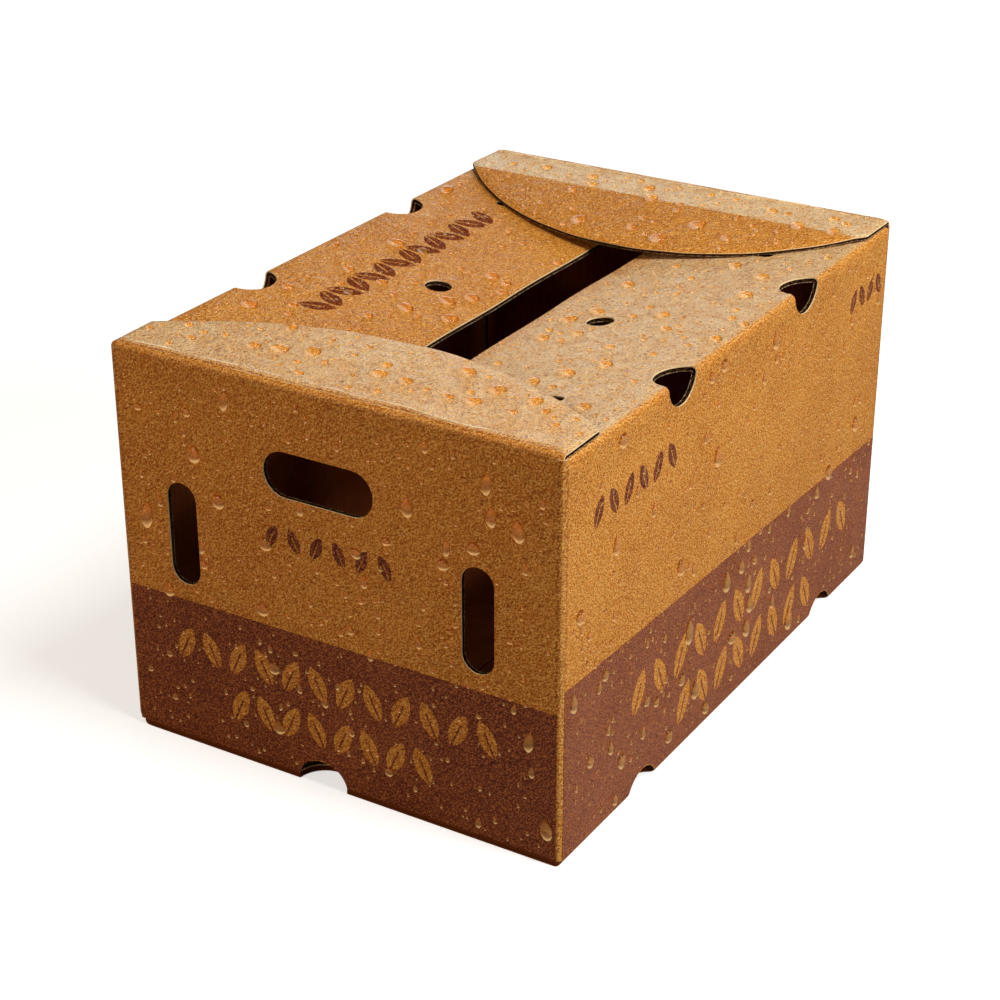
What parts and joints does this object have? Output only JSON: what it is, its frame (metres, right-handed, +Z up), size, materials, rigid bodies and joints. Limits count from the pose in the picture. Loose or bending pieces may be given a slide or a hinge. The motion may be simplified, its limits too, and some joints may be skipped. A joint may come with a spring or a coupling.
{
  "type": "waxed produce carton",
  "caption": "Long corrugated carton with half-moon end flaps that hinge up, hand slots, vents and a dark printed band.",
  "frame": {"origin": "on the floor, under the middle of the carton", "axes": "+Z up, +Y from the near end to the far end along the carton, +X to the right side"},
  "size_m": [0.4002, 0.5722, 0.338],
  "materials": {
    "kraft_board": "kraft board soaked in wax, with a low uneven sheen and beads of water",
    "print_ink": "dark red-brown print, thin and speckled, under the wax"
  },
  "bodies": {
    "carton": {"carton_body": "kraft_board", "near_end_print": "print_ink", "far_end_print": "print_ink", "right_side_print": "print_ink", "left_side_print": "print_ink", "left_flap_print": "print_ink"},
    "near_flap": {"near_end_flap": "kraft_board"},
    "far_flap": {"far_end_flap": "kraft_board"}
  },
  "joints": [
    {"name": "near_flap_hinge", "type": "hinge", "parent": "carton", "child": "near_flap", "pos_m": [0, -0.286, 0.338], "axis": [1, 0, 0], "range_deg": [0, 260]},
    {"name": "far_flap_hinge", "type": "hinge", "parent": "carton", "child": "far_flap", "pos_m": [0, 0.286, 0.338], "axis": [-1, 0, 0], "range_deg": [0, 260]}
  ]
}
